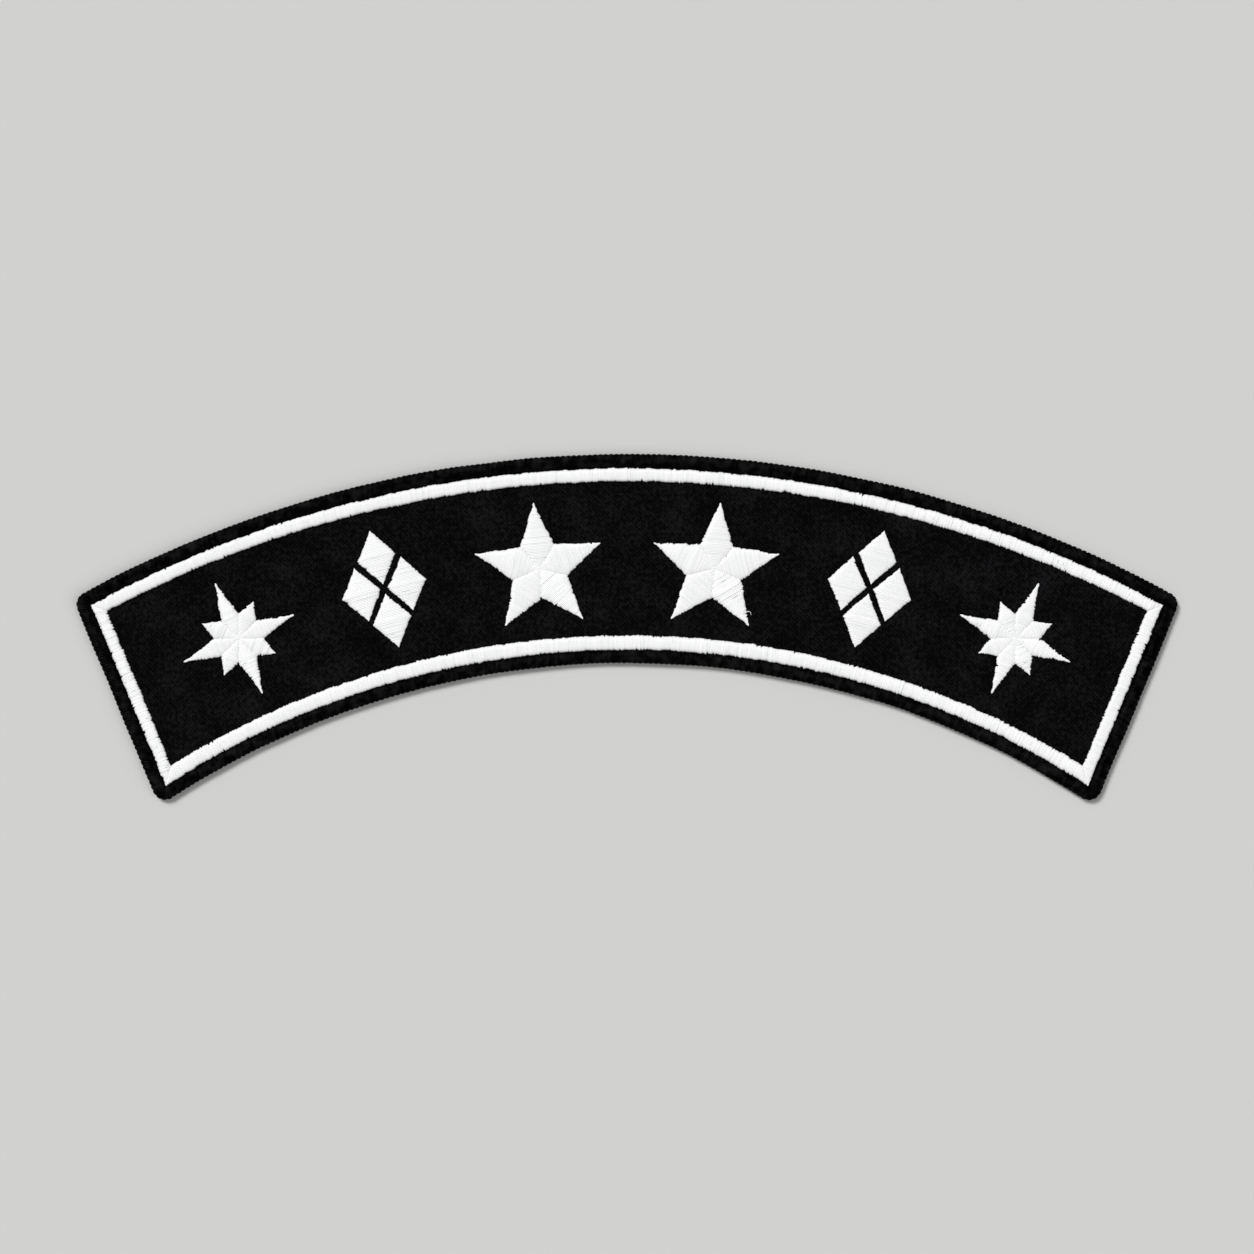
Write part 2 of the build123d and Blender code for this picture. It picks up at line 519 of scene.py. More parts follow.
@dataclass(frozen=True)
class Seam:
    """Seam line between the border and the cloth, from which every outline is set out.

    Attributes:
        upper_chord: distance between its two upper corners.
        lower_chord: distance between its two lower corners.
        upper_radius: radius of its upper arc.
        lower_radius: radius of its lower arc.
        band_height: distance between the two arcs, in the middle.
    """

    upper_chord: float = 297.8 * MM
    lower_chord: float = 255.8 * MM
    upper_radius: float = 310.0 * MM
    lower_radius: float = 235.0 * MM
    band_height: float = 50.8 * MM

    @property
    def crown(self) -> float:
        """Y of the upper arc's highest point."""
        drop = self.lower_radius - math.sqrt(self.lower_radius**2 - self.lower_chord**2 / 4)
        return (self.band_height + drop) / 2

    def centre(self, upper: bool) -> Vector:
        """Centre of the upper or the lower arc."""
        drop = self.upper_radius if upper else self.band_height + self.lower_radius
        return Vector((0.0, self.crown - drop, 0.0))

    @property
    def middle_centre(self) -> Vector:
        """Centre of the arc on which the ornaments lie."""
        radius = (self.upper_radius + self.lower_radius) / 2
        return Vector((0.0, self.crown - self.band_height / 2 - radius, 0.0))

    def _seam_corner(self, upper: bool) -> Vector:
        """Finds a right corner of the seam line itself.

        Args:
            upper: whether this is the upper corner.

        Returns:
            The corner.
        """
        chord = self.upper_chord if upper else self.lower_chord
        radius = self.upper_radius if upper else self.lower_radius
        return self.centre(upper) + Vector((chord / 2, math.sqrt(radius**2 - chord**2 / 4), 0.0))

    @property
    def end_outward(self) -> Vector:
        """Outward direction of the right end line."""
        rise = self._seam_corner(True) - self._seam_corner(False)
        return rise.cross(UP).normalized()

    def corner(self, upper: bool, inset: float, end_inset: float) -> Vector:
        """Finds a right corner of an outline that keeps inside the seam line.

        Args:
            upper: whether this is the upper corner.
            inset: how far the outline's arcs keep inside.
            end_inset: how far its end lines do.

        Returns:
            The corner.
        """
        outward = self.end_outward
        along = UP.cross(outward)
        centre = self.centre(upper)
        radius = self.upper_radius - inset if upper else self.lower_radius + inset
        reach = (self._seam_corner(True) - centre).dot(outward) - end_inset
        return centre + outward * reach + along * math.sqrt(radius**2 - reach**2)

    def depth(self, point: Vector) -> float:
        """Measures how far a point lies inside the seam line.

        Args:
            point: the point.

        Returns:
            Its distance from the nearest of the four lines, negative outside them.
        """
        below_top = self.upper_radius - (point - self.centre(True)).length
        above_bottom = (point - self.centre(False)).length - self.lower_radius
        folded = Vector((abs(point.x), point.y, 0.0))
        from_end = (self._seam_corner(True) - folded).dot(self.end_outward)
        return min(below_top, above_bottom, from_end)

    def stretches(self) -> list[ArcStretch | LineStretch]:
        """Divides the seam line into its stretches and corners.

        Returns:
            The stretches, clockwise from the upper left.
        """
        upper, lower = self._seam_corner(True), self._seam_corner(False)
        outward = self.end_outward
        half_turn, quarter = math.pi, math.pi / 2
        above = math.asin(self.upper_chord / 2 / self.upper_radius)
        below = math.asin(self.lower_chord / 2 / self.lower_radius)
        end = math.atan2(outward.y, outward.x)
        return [
            ArcStretch(self.centre(True), self.upper_radius, quarter + above, quarter - above),
            ArcStretch(upper, 0.0, quarter - above, end),
            LineStretch(upper, lower, outward),
            ArcStretch(lower, 0.0, end, -quarter - below),
            ArcStretch(self.centre(False), self.lower_radius, quarter - below, quarter + below, -1),
            ArcStretch(mirrored(lower), 0.0, below - quarter, -half_turn - end),
            LineStretch(mirrored(lower), mirrored(upper), mirrored(outward)),
            ArcStretch(mirrored(upper), 0.0, -half_turn - end, above + quarter - 2 * half_turn),
        ]


SEAM = Seam()


class Track:
    """Line that runs round the patch at one distance outside the seam line."""

    def __init__(self, seam: Seam, distance: float) -> None:
        """Measures the stretches at this distance."""
        self.parts = [(stretch, stretch.length(distance)) for stretch in seam.stretches()]
        self.length = sum(length for _, length in self.parts)

    def at(self, travelled: float) -> tuple[Vector, Vector]:
        """Finds the place on the seam line that lies beside one on the track.

        Args:
            travelled: distance of the place along the track, clockwise from the upper left.

        Returns:
            The point of the seam line and its outward direction.
        """
        left = travelled % self.length
        for stretch, length in self.parts:
            if left <= length:
                return stretch.at(left / length)
            left -= length
        return self.parts[0][0].at(0.0)


def add_piece(
    mesh: bmesh.types.BMesh, name: str, material: bpy.types.Material, node: str
) -> bpy.types.Object:
    """Turns a finished bmesh into a piece of the patch.

    Args:
        mesh: the piece's form, in the patch's frame, which is freed.
        name: the piece's name.
        material: its finish.
        node: the solid that the piece stands for.

    Returns:
        The new object.
    """
    for face in mesh.faces:
        face.smooth = True
    data = bpy.data.meshes.new(name)
    mesh.to_mesh(data)
    mesh.free()
    data.materials.append(material)
    piece = bpy.data.objects.new(name, data)
    bpy.context.scene.collection.objects.link(piece)
    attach(piece, "root")
    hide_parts(node)
    log.info("%s: %d faces in place of %s", name, len(data.polygons), node)
    return piece


def linked_faces(vertices: Iterable[bmesh.types.BMVert]) -> set[bmesh.types.BMFace]:
    """Faces that have any of these vertices."""
    return {face for vertex in vertices for face in vertex.link_faces}


class ThreadMesh:
    """Mesh of threads side by side, each a round ridge, with the layers that their finish reads."""

    def __init__(self, pitch: float, samples: int, seed: int) -> None:
        """Starts an empty mesh.

        Args:
            pitch: from one thread to the next.
            samples: spans of the mesh for one thread's round back.
            seed: of everything uneven in this mesh.
        """
        self.pitch = pitch
        self.samples = samples
        self.draw = random.Random(seed)
        self.mesh = bmesh.new()
        self.row_layer = self.mesh.verts.layers.int.new("row")
        self.shade_layer = self.mesh.faces.layers.float.new(SHADE_LAYER)
        self.uv_layer = self.mesh.loops.layers.uv.new(UV_LAYER)

    def wind(
        self, rows: int, columns: int, ring: bool = False
    ) -> dict[bmesh.types.BMVert, tuple[int, int]]:
        """Adds a flat grid that is to be shaped into a tube.

        Args:
            rows: spans along the tube.
            columns: spans round it.
            ring: whether the tube ends where it begins.

        Returns:
            Row and column of each vertex. The last column is the first again, as is a ring's last row.
        """
        grid = bmesh.ops.create_grid(self.mesh, x_segments=rows, y_segments=columns, size=0.5)
        places = {}
        for vertex in grid["verts"]:
            row = round((vertex.co.x + 0.5) * rows)
            column = round((vertex.co.y + 0.5) * columns)
            places[vertex] = (row % rows if ring else row, column % columns)
            vertex[self.row_layer] = places[vertex][0]
        return places

    def mark_threads(
        self,
        vertices: Iterable[bmesh.types.BMVert],
        rows: int,
        threads: int,
        along: Callable[[bmesh.types.BMVert, int], float],
    ) -> None:
        """Gives each thread its shade and its own stretch of the fibres' pattern.

        Args:
            vertices: of the threads.
            rows: spans of the mesh over all of them.
            threads: number of threads for which starts and shades are drawn.
            along: gives the distance of a vertex along the thread of this number.
        """
        starts = [self.draw.uniform(0.0, TWIST_RANGE) for _ in range(threads)]
        shades = [self.draw.random() for _ in range(threads)]
        for face in linked_faces(vertices):
            found = sorted(vertex[self.row_layer] for vertex in face.verts)
            # A face over more than one row joins a ring's last row to its first
            first = found[-1] if found[-1] - found[0] > 1 else found[0]
            thread = first // self.samples
            face[self.shade_layer] = shades[thread]
            for loop in face.loops:
                aside = (loop.vert[self.row_layer] - thread * self.samples) % rows
                place = starts[thread] + along(loop.vert, thread)
                loop[self.uv_layer].uv = (place, aside * self.pitch / self.samples)

    def merge(self, vertices: Iterable[bmesh.types.BMVert]) -> None:
        """Joins those of the vertices that lie in one place."""
        bmesh.ops.remove_doubles(self.mesh, verts=list(vertices), dist=SAME_PLACE)

    def closed(self) -> bmesh.types.BMesh:
        """Closes the ends of all tubes and turns all faces outwards.

        Returns:
            The finished mesh.
        """
        rims = [edge for edge in self.mesh.edges if edge.is_boundary]
        bmesh.ops.holes_fill(self.mesh, edges=rims, sides=0)
        bmesh.ops.recalc_face_normals(self.mesh, faces=self.mesh.faces)
        return self.mesh


@dataclass(frozen=True)
class Stitch:
    """How the threads of a run of satin stitching lie.

    Attributes:
        pitch: from one thread to the next.
        fewest: threads in the shortest run.
        samples: spans of the mesh for one thread's round back.
        relief: depth of the valley between two threads.
        side: height at which a thread turns down into the cloth.
        rise: from there to the top of the run.
        taper: exponent by which a run rises less where it is narrow.
        lowest: height that a thread has at the least.
        height_jitter: how far heights differ from thread to thread, as a share.
        squareness: exponent of the arch over the run; 2 is an ellipse.
        sunk: how far its ends go down into the cloth.
        end_jitter: how far single threads end short or long.
        group_jitter: how far groups of threads end short or long together.
        groups: threads in the smallest and the largest of such groups.
        short_chance: share of the threads that end well short.
        short_by: how far short they end.
        scallop: how far the outline draws in between two threads.
        wobble: slow wander of the outline.
        wobble_period: length of that wander.
        steady: width of a run below which its ends wander less.
        gap_chance: share of the threads that lie beside a deeper valley.
        gap_valley: how many times deeper that valley is.
        pit_chance: share of the threads that part from the next one.
        pit_from: width at which a run can have them, as a share of its full width.
        pit_margin: how far they keep from a thread's ends, as a share of the thread.
        pit_depth: how deeply they part.
        pit_length: half the length of that pit, as a share of the thread.
    """

    pitch: float = 0.42 * MM
    fewest: int = 3
    samples: int = 4
    relief: float = 0.115 * MM
    side: float = 0.3 * MM
    rise: float = 0.6 * MM
    taper: float = 0.7
    lowest: float = 0.12 * MM
    height_jitter: float = 0.035
    squareness: float = 3.0
    sunk: float = 0.04 * MM
    end_jitter: float = 0.07 * MM
    group_jitter: float = 0.07 * MM
    groups: tuple[int, int] = (2, 7)
    short_chance: float = 0.04
    short_by: float = 0.27 * MM
    scallop: float = 0.07 * MM
    wobble: float = 0.06 * MM
    wobble_period: float = 2.6 * MM
    steady: float = 1.8 * MM
    gap_chance: float = 0.06
    gap_valley: float = 2.4
    pit_chance: float = 0.03
    pit_from: float = 0.5
    pit_margin: float = 0.2
    pit_depth: float = 0.5 * MM
    pit_length: float = 0.16


@dataclass(frozen=True)
class CrossLine:
    """Cross line of a run's mesh, along a thread or the valley beside it.

    Attributes:
        start: its end on one rail.
        end: its end on the other.
        height: of the stitching over the cloth there.
        pit: share of the way over at which the threads part.
        pit_depth: how deeply they do.
    """

    start: Vector
    end: Vector
    height: float
    pit: float
    pit_depth: float

    def at(self, share: float, stitch: Stitch) -> Vector:
        """Finds a point of the stitching's surface.

        Args:
            share: of the way over, at which the point lies.
            stitch: how the threads lie.

        Returns:
            The point, where the cloth is at a height of 0.
        """
        arch = (1.0 - abs(2.0 * share - 1.0) ** stitch.squareness) ** (1.0 / stitch.squareness)
        pit = self.pit_depth * max(0.0, 1.0 - abs(share - self.pit) / stitch.pit_length)
        height = (self.height + stitch.sunk) * arch - stitch.sunk - pit
        return self.start.lerp(self.end, share) + UP * height


class SatinMesh(ThreadMesh):
    """Mesh of closed runs of satin stitching."""

    def __init__(self, stitch: Stitch, base: float, seed: int) -> None:
        """Starts an empty mesh.

        Args:
            stitch: how the threads lie.
            base: height of the cloth that they lie on.
            seed: of everything uneven in this piece.
        """
        super().__init__(stitch.pitch, stitch.samples, seed)
        self.stitch = stitch
        self.base = base

    def add_run(self, rails: Rails, length: float, across: int, full_width: float) -> None:
        """Adds one run.

        Args:
            rails: gives both ends of the thread at a distance along the run.
            length: of the run.
            across: spans of the mesh over one thread's length.
            full_width: width at which a run reaches its full height.
        """
        lines = self._lines(rails, length, full_width)
        rows = len(lines) - 1
        places = self.wind(rows, across + 1)
        for vertex, (row, column) in places.items():
            share = 0.5 - 0.5 * math.cos(math.pi * column / across)
            vertex.co = lines[row].at(share, self.stitch) + UP * self.base

        def along(vertex: bmesh.types.BMVert, thread: int) -> float:
            """Distance of a vertex from the first end of its thread."""
            first = lines[thread * self.samples]
            return (vertex.co - first.start).dot((first.end - first.start).normalized())

        self.mark_threads(places, rows, rows // self.samples + 1, along)
        self.merge(places)

    def _lines(self, rails: Rails, length: float, full_width: float) -> list[CrossLine]:
        """Works out the cross lines of a run, with everything uneven in them.

        Args:
            rails: gives both ends of the thread at a distance along the run.
            length: of the run.
            full_width: width at which a run reaches its full height.

        Returns:
            The cross lines, from the run's beginning to its end.
        """
        stitch, draw = self.stitch, self.draw
        threads = max(stitch.fewest, round(length / stitch.pitch))
        numbers = range(threads + 1)
        rows = threads * stitch.samples
        wander = [draw.uniform(0.0, FAR_APART) for _ in range(2)]
        tips = [self._unevenness(len(numbers)) for _ in range(2)]
        lifts = [draw.gauss(0.0, stitch.height_jitter) for _ in numbers]
        valleys = [stitch.gap_valley if draw.random() < stitch.gap_chance else 1.0 for _ in numbers]
        pits = [draw.random() < stitch.pit_chance for _ in numbers]
        lines = []
        for row in range(rows + 1):
            thread, step = divmod(row, stitch.samples)
            travelled = length * row / rows
            valley = (1.0 - round_back(step / stitch.samples)) * (1.0 if step else valleys[thread])
            start, end = rails(travelled)
            reach = (end - start).length
            over = (end - start) / reach
            slack = min(1.0, reach / stitch.steady)
            for index, tip in enumerate((start, end)):
                swing = noise.noise(Vector((travelled / stitch.wobble_period, wander[index], 0.0)))
                swing = 2.0 * stitch.wobble * swing + tips[index][thread] - stitch.scallop * valley
                tip += over * (slack * swing * (1.0 if index else -1.0))
            height = stitch.side + stitch.rise * min(1.0, reach / full_width) ** stitch.taper
            height = height * (1.0 + lifts[thread]) - stitch.relief * valley
            parted = pits[thread] and not step and reach > full_width * stitch.pit_from
            line = CrossLine(
                start=start,
                end=end,
                height=max(height, stitch.lowest),
                pit=draw.uniform(stitch.pit_margin, 1.0 - stitch.pit_margin),
                pit_depth=stitch.pit_depth if parted else 0.0,
            )
            lines.append(line)
        return lines

    def _unevenness(self, threads: int) -> list[float]:
        """Draws how far threads' ends are out of line, where groups of threads share a part of it.

        Args:
            threads: number of threads.

        Returns:
            How far each thread ends long, or short where it is negative.
        """
        stitch, draw = self.stitch, self.draw
        offsets: list[float] = []
        while len(offsets) < threads:
            shared = draw.gauss(0.0, stitch.group_jitter)
            for _ in range(draw.randint(*stitch.groups)):
                short = stitch.short_by if draw.random() < stitch.short_chance else 0.0
                offsets.append(shared + draw.gauss(0.0, stitch.end_jitter) - short)
        return offsets[:threads]

    def add_loose_end(self, loose: LooseEnd, arm: Arm) -> None:
        """Adds a thread that has come loose.

        Args:
            loose: its place and size.
            arm: the arm that it comes out of.
        """
        way = loose.way(arm, self.base)
        rows = len(way) - 1
        places = self.wind(rows, loose.sides)
        for vertex, (row, column) in places.items():
            turn = math.tau * column / loose.sides
            ahead = (way[min(row + 1, rows)] - way[max(row - 1, 0)]).normalized()
            aside = ahead.cross(UP).normalized()
            ring = aside * math.cos(turn) + aside.cross(ahead) * math.sin(turn)
            vertex.co = way[row] + ring * (loose.radius * (1.0 - loose.thinning * row / rows))
        for face in linked_faces(places):
            face[self.shade_layer] = loose.shade
            for loop in face.loops:
                loop[self.uv_layer].uv = loop.vert.co.xy
        self.merge(places)


class FrameSide(Enum):
    """The four runs of the frame line, by their solids."""

    TOP = "frame_top"
    BOTTOM = "frame_bottom"
    LEFT = "frame_left"
    RIGHT = "frame_right"


@dataclass(frozen=True)
class Strip:
    """Place of a run of the frame line.

    Attributes:
        gap: from the seam line to the run.
        width: of the run.
    """

    gap: float
    width: float

    @property
    def inner(self) -> float:
        """From the seam line to the run's far side."""
        return self.gap + self.width


@dataclass
class FrameLine:
    """White line just inside the border: four runs of satin stitching, mitred at the corners.

    Attributes:
        top: place of the upper run.
        bottom: place of the lower run.
        ends: place of the two end runs.
        across: spans of the mesh over one thread.
        shortest: shortest thread at a mitre, as a share of the width.
        overlap: how far threads run on under those of the next run.
    """

    top: Strip = Strip(0.4 * MM, 3.6 * MM)
    bottom: Strip = Strip(0.12 * MM, 4.05 * MM)
    ends: Strip = Strip(0.34 * MM, 3.55 * MM)
    across: int = 10
    shortest: float = 0.12
    overlap: float = 0.14 * MM

    def build(self, material: bpy.types.Material, stitch: Stitch) -> None:
        """Stitches the four runs.

        Args:
            material: finish of their thread.
            stitch: how the threads lie.
        """
        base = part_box("cloth_ground")[1].z
        for seed, side in enumerate(FrameSide):
            rails, length = self._run(side)
            run = SatinMesh(stitch, base, seed)
            run.add_run(rails, length, self.across, self.top.width)
            add_piece(run.closed(), f"satin_{side.value}", material, side.value)

    def _run(self, side: FrameSide) -> tuple[Rails, float]:
        """Lays out one run.

        Args:
            side: which of the four it is.

        Returns:
            Its rails, and its length.
        """
        strips = ((True, self.top), (False, self.bottom))
        outer = [SEAM.corner(upper, strip.gap, self.ends.gap) for upper, strip in strips]
        inner = [SEAM.corner(upper, strip.inner, self.ends.inner) for upper, strip in strips]
        match side:
            case FrameSide.TOP:
                return self._arc_run(SEAM.centre(True), outer[0], inner[0])
            case FrameSide.BOTTOM:
                return self._arc_run(SEAM.centre(False), outer[1], inner[1])
            case _:
                return self._end_run(side is FrameSide.LEFT, outer, inner)

    def _arc_run(self, centre: Vector, outer: Vector, inner: Vector) -> tuple[Rails, float]:
        """Lays out the upper or the lower run.

        Args:
            centre: of its arcs.
            outer: outer end of its right mitre.
            inner: inner end of that mitre.

        Returns:
            Its rails, and its length along the middle of the line.
        """
        corner, mitre = outer - centre, inner - centre
        spread = math.atan2(corner.x, corner.y)
        radius = (corner.length + mitre.length) / 2

        def rails(travelled: float) -> tuple[Vector, Vector]:
            """Lays a thread from the outer arc to the inner one, or to a mitre.

            Args:
                travelled: distance of the thread from the run's left end.

            Returns:
                The thread's two ends.
            """
            ray = heading(math.pi / 2 + spread - travelled / radius)
            flip = -1.0 if ray.x < 0 else 1.0
            start, end = (Vector((flip * ray.x, ray.y, 0.0)) * arc.length for arc in (corner, mitre))
            tips = self._mitred(start, end, corner, mitre, UP.cross(corner))
            return tuple(Vector((flip * tip.x, tip.y, 0.0)) + centre for tip in tips)

        return rails, 2 * spread * radius

    def _end_run(self, left: bool, outer: list[Vector], inner: list[Vector]) -> tuple[Rails, float]:
        """Lays out one of the two end runs.

        Args:
            left: whether it is the left one.
            outer: outer ends of the right end's two mitres, the upper one first.
            inner: inner ends of those mitres.

        Returns:
            Its rails, and its length along the outside of the line.
        """
        along = (outer[1] - outer[0]).normalized()
        inwards = SEAM.end_outward * -self.ends.width

        def rails(travelled: float) -> tuple[Vector, Vector]:
            """Lays a thread from the outside of the line to its inside, or to a mitre.

            Args:
                travelled: distance of the thread from the run's upper end.

            Returns:
                The thread's two ends.
            """
            start = outer[0] + along * travelled
            end = start + inwards
            for corner, mitre, kept in zip(outer, inner, (along, -along)):
                start, end = self._mitred(start, end, corner, mitre, kept)
            return (mirrored(start), mirrored(end)) if left else (start, end)

        return rails, (outer[1] - outer[0]).length

    def _mitred(
        self, start: Vector, end: Vector, corner: Vector, mitre: Vector, kept: Vector
    ) -> tuple[Vector, Vector]:
        """Cuts a thread short where it crosses the mitre line.

        Args:
            start: its end on the outer rail.
            end: its end on the inner rail.
            corner: outer end of the mitre line.
            mitre: inner end of that line.
            kept: direction from the line into the run.

        Returns:
            The two ends.
        """
        across = (mitre - corner).cross(UP).normalized()
        across *= math.copysign(1.0, across.dot(kept))
        from_start, from_end = (across.dot(tip - corner) + self.overlap for tip in (start, end))
        if from_end < 0:
            end = start.lerp(end, max(self.shortest, from_start / (from_start - from_end)))
        return start, end


@dataclass(frozen=True)
class Arm:
    """Kite-shaped run of satin stitching from the middle of an ornament outwards.

    Attributes:
        foot: its inner end.
        angle: direction in which it points.
        length: from foot to tip.
        shoulder: from foot to its widest place.
        half_width: there.
        overlap: how far it reaches under its neighbours between foot and shoulder.
        blunt_half: half the width that it keeps near its ends.
        blunt_run: distance over which it rounds off from there to an end.
        blunt_start: share of that distance that lies past its outermost thread.
    """

    foot: Vector
    angle: float
    length: float
    shoulder: float
    half_width: float
    overlap: float = 0.0
    blunt_half: float = 0.36 * MM
    blunt_run: float = 0.7 * MM
    blunt_start: float = 0.06

    @property
    def along(self) -> Vector:
        """Direction from foot to tip."""
        return heading(self.angle)

    @property
    def aside(self) -> Vector:
        """Direction across the arm."""
        return heading(self.angle + math.pi / 2)

    def rails(self) -> Rails:
        """Lays threads across the arm.

        Returns:
            Its rails, from its foot to its tip.
        """
        along, aside = self.along, self.aside

        def ends(travelled: float) -> tuple[Vector, Vector]:
            """Lays one thread.

            Args:
                travelled: its distance from the foot.

            Returns:
                Its two ends.
            """
            if travelled < self.shoulder:
                half = self.half_width * travelled / self.shoulder + self.overlap
                half = min(half, self.half_width)
            else:
                half = self.half_width * (self.length - travelled) / (self.length - self.shoulder)
            from_end = min(travelled, self.length - travelled)
            rounding = math.sqrt(min(1.0, from_end / self.blunt_run + self.blunt_start))
            half = max(half, self.blunt_half * rounding)
            middle = self.foot + along * travelled
            return middle - aside * half, middle + aside * half

        return ends


@dataclass(frozen=True)
class LooseEnd:
    """Thread that has come loose and sticks out beside an arm of an ornament.

    Attributes:
        node: the ornament's solid.
        arm: number of the arm, clockwise from the upright one, which is 0.
        place: where on the arm the thread comes out, as a share of the arm's length.
        height: over the cloth, at which it comes out.
        bends: two pulls and the end of its curve, each along the arm, aside from it and upwards.
        points: number of points along it.
        sides: faces round it.
        radius: of the thread where it comes out.
        thinning: how much thinner it is at its end, as a share.
        shade: of the thread, from 0 to 1.
    """

    node: str = "star_right"
    arm: int = 2
    place: float = 0.8
    height: float = 0.3 * MM
    bends: tuple[tuple[float, float, float], ...] = (
        (0.0, 1.6 * MM, 0.9 * MM),
        (0.0, 2.8 * MM, 0.9 * MM),
        (1.5 * MM, 2.1 * MM, -0.1 * MM),
    )
    points: int = 14
    sides: int = 7
    radius: float = 0.14 * MM
    thinning: float = 0.5
    shade: float = 0.7

    def way(self, arm: Arm, base: float) -> list[Vector]:
        """Lays out the thread.

        Args:
            arm: the arm that it comes out of.
            base: height of the cloth.

        Returns:
            The points that it follows.
        """
        start = arm.foot + arm.along * (arm.length * self.place) + UP * (base + self.height)
        curve = [start + arm.along * ahead + arm.aside * out + UP * up for ahead, out, up in self.bends]
        return interpolate_bezier(start, *curve, self.points)


class Motif(Enum):
    """Kinds of ornament, by how their solids' names begin."""

    STAR = "star"
    COMPASS = "compass"
    LOZENGE = "lozenge"


@dataclass
class Ornaments:
    """Satin-stitched ornaments along the middle arc, each placed and sized by its own solid.

    Attributes:
        star_points: arms of a star.
        star_waist: radius between two arms, as a share of the star's.
        compass_pairs: pairs of a long and a short arm in a compass star.
        compass_short: radius of the short arms, as a share of the long ones'.
        compass_waist: radius between two arms, as a share of the long ones'.
        overlap: how far the arms of a star reach under each other.
        across: spans of the mesh over one thread.
        first_seed: of what is uneven in the first ornament.
        loose_end: thread that has come loose.
    """

    star_points: int = 5
    star_waist: float = 0.44
    compass_pairs: int = 4
    compass_short: float = 0.66
    compass_waist: float = 0.42
    overlap: float = 0.28 * MM
    across: int = 14
    first_seed: int = 100
    loose_end: LooseEnd = LooseEnd()

    def build(self, material: bpy.types.Material, stitch: Stitch) -> None:
        """Stitches every ornament that the frame holds.

        Args:
            material: finish of their thread.
            stitch: how the threads lie.
        """
        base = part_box("cloth_ground")[1].z
        for seed, node in enumerate(sorted(self.nodes()), self.first_seed):
            arms = self.arms(node)
            run = SatinMesh(stitch, base, seed)
            for arm in arms:
                run.add_run(arm.rails(), arm.length, self.across, 2 * arm.half_width)
            if node == self.loose_end.node:
                run.add_loose_end(self.loose_end, arms[self.loose_end.arm])
            add_piece(run.closed(), f"satin_{node}", material, node)

    def nodes(self) -> list[str]:
        """Names of the ornaments' solids."""
        kinds = {motif.value for motif in Motif}
        return [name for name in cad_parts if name.split("_")[0] in kinds]

    def arms(self, node: str) -> list[Arm]:
        """Lays out the arms of one ornament, measured on its solid.

        Args:
            node: the solid.

        Returns:
            The arms, clockwise from the upright one.
        """
        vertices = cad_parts[node].data.vertices
        corners = {tuple(round(part, MICRONS) for part in vertex.co) for vertex in vertices}
        middle = sum((Vector((x, y, 0.0)) for x, y, _ in corners), Vector()) / len(corners)
        away = middle - SEAM.middle_centre
        upright = math.atan2(away.y, away.x)
        spans = [Vector((x, y, 0.0)) - middle for x, y, _ in corners]
        match Motif(node.split("_")[0]):
            case Motif.STAR:
                radii = [1.0] * self.star_points
                waist = self.star_waist
            case Motif.COMPASS:
                radii = [1.0, self.compass_short] * self.compass_pairs
                waist = self.compass_waist
            case Motif.LOZENGE:
                half_height = max(span.dot(heading(upright)) for span in spans)
                half_width = max(span.dot(heading(upright - math.pi / 2)) for span in spans)
                foot = middle - heading(upright) * half_height
                return [Arm(foot, upright, 2 * half_height, half_height, half_width)]
        radius = max(span.length for span in spans)
        step = math.tau / len(radii)
        return [
            Arm(
                foot=middle,
                angle=upright - step * number,
                length=radius * share,
                shoulder=radius * waist * math.cos(step / 2),
                half_width=radius * waist * math.sin(step / 2),
                overlap=self.overlap,
            )
            for number, share in enumerate(radii)
        ]


@dataclass(frozen=True)
class SectionPoint:
    """Point of the border's section.

    Attributes:
        across: distance outside the seam line.
        height: of the point.
        bulge: direction in which thread swells there, which is nothing in the groove.
        share: of the way from the front's inner edge over the rim to the back's.
    """

    across: float
    height: float
    bulge: Vector
    share: float


